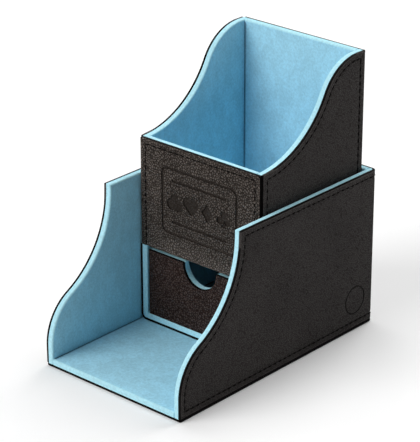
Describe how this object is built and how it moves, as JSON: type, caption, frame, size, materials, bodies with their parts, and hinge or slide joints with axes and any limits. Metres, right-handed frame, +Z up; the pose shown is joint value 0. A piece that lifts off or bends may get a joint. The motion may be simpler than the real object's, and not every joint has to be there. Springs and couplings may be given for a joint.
{
  "type": "card box with drawer and tray shell",
  "caption": "Tall open card box with a drawer in its foot, standing in a lower shell whose open front is a tray; leather outside, light blue lining inside.",
  "frame": {"origin": "on the ground under the middle of the shell", "axes": "+Z up; -Y is the open front, where the tray lies and the drawer pulls out; +X is the right side seen by the camera"},
  "size_m": [0.09, 0.1474, 0.1482],
  "materials": {
    "cover_leather": "fine grained, semi-matt, near black",
    "face_leather": "coarse pebble grain, satin, brown-black",
    "microfibre_lining": "soft suede nap, light blue",
    "greyboard": "raw grey-brown board",
    "magnet": "nickel-plated disc"
  },
  "bodies": {
    "shell": {"shell_sole": "cover_leather", "shell_cover": "cover_leather", "shell_left_board": "greyboard", "shell_right_board": "greyboard", "shell_back_board": "greyboard", "shell_floor_board": "greyboard", "shell_left_lining": "microfibre_lining", "shell_right_lining": "microfibre_lining", "shell_back_lining": "microfibre_lining", "shell_floor_lining": "microfibre_lining", "shell_magnets": "magnet"},
    "card_box": {"box_cover": "cover_leather", "box_front_leather": "face_leather", "box_back_leather": "cover_leather", "box_left_board": "greyboard", "box_right_board": "greyboard", "box_front_board": "greyboard", "box_back_board": "greyboard", "box_base_board": "greyboard", "box_shelf_board": "greyboard", "box_left_lining": "microfibre_lining", "box_right_lining": "microfibre_lining", "box_front_lining": "microfibre_lining", "box_back_lining": "microfibre_lining", "box_base_lining": "microfibre_lining", "box_shelf_lining": "microfibre_lining", "box_magnets": "magnet"},
    "drawer": {"drawer_front_leather": "face_leather", "drawer_cover": "cover_leather", "drawer_back_leather": "cover_leather", "drawer_front_board": "greyboard", "drawer_left_board": "greyboard", "drawer_right_board": "greyboard", "drawer_back_board": "greyboard", "drawer_floor_board": "greyboard", "drawer_front_lining": "microfibre_lining", "drawer_left_lining": "microfibre_lining", "drawer_right_lining": "microfibre_lining", "drawer_back_lining": "microfibre_lining", "drawer_floor_lining": "microfibre_lining"}
  },
  "joints": [
    {"name": "box_lift", "type": "slide", "parent": "shell", "child": "card_box", "axis": [0, 0, 1], "range_m": [0, 0.09]},
    {"name": "drawer_slide", "type": "slide", "parent": "card_box", "child": "drawer", "axis": [0, -1, 0], "range_m": [0, 0.075]}
  ]
}
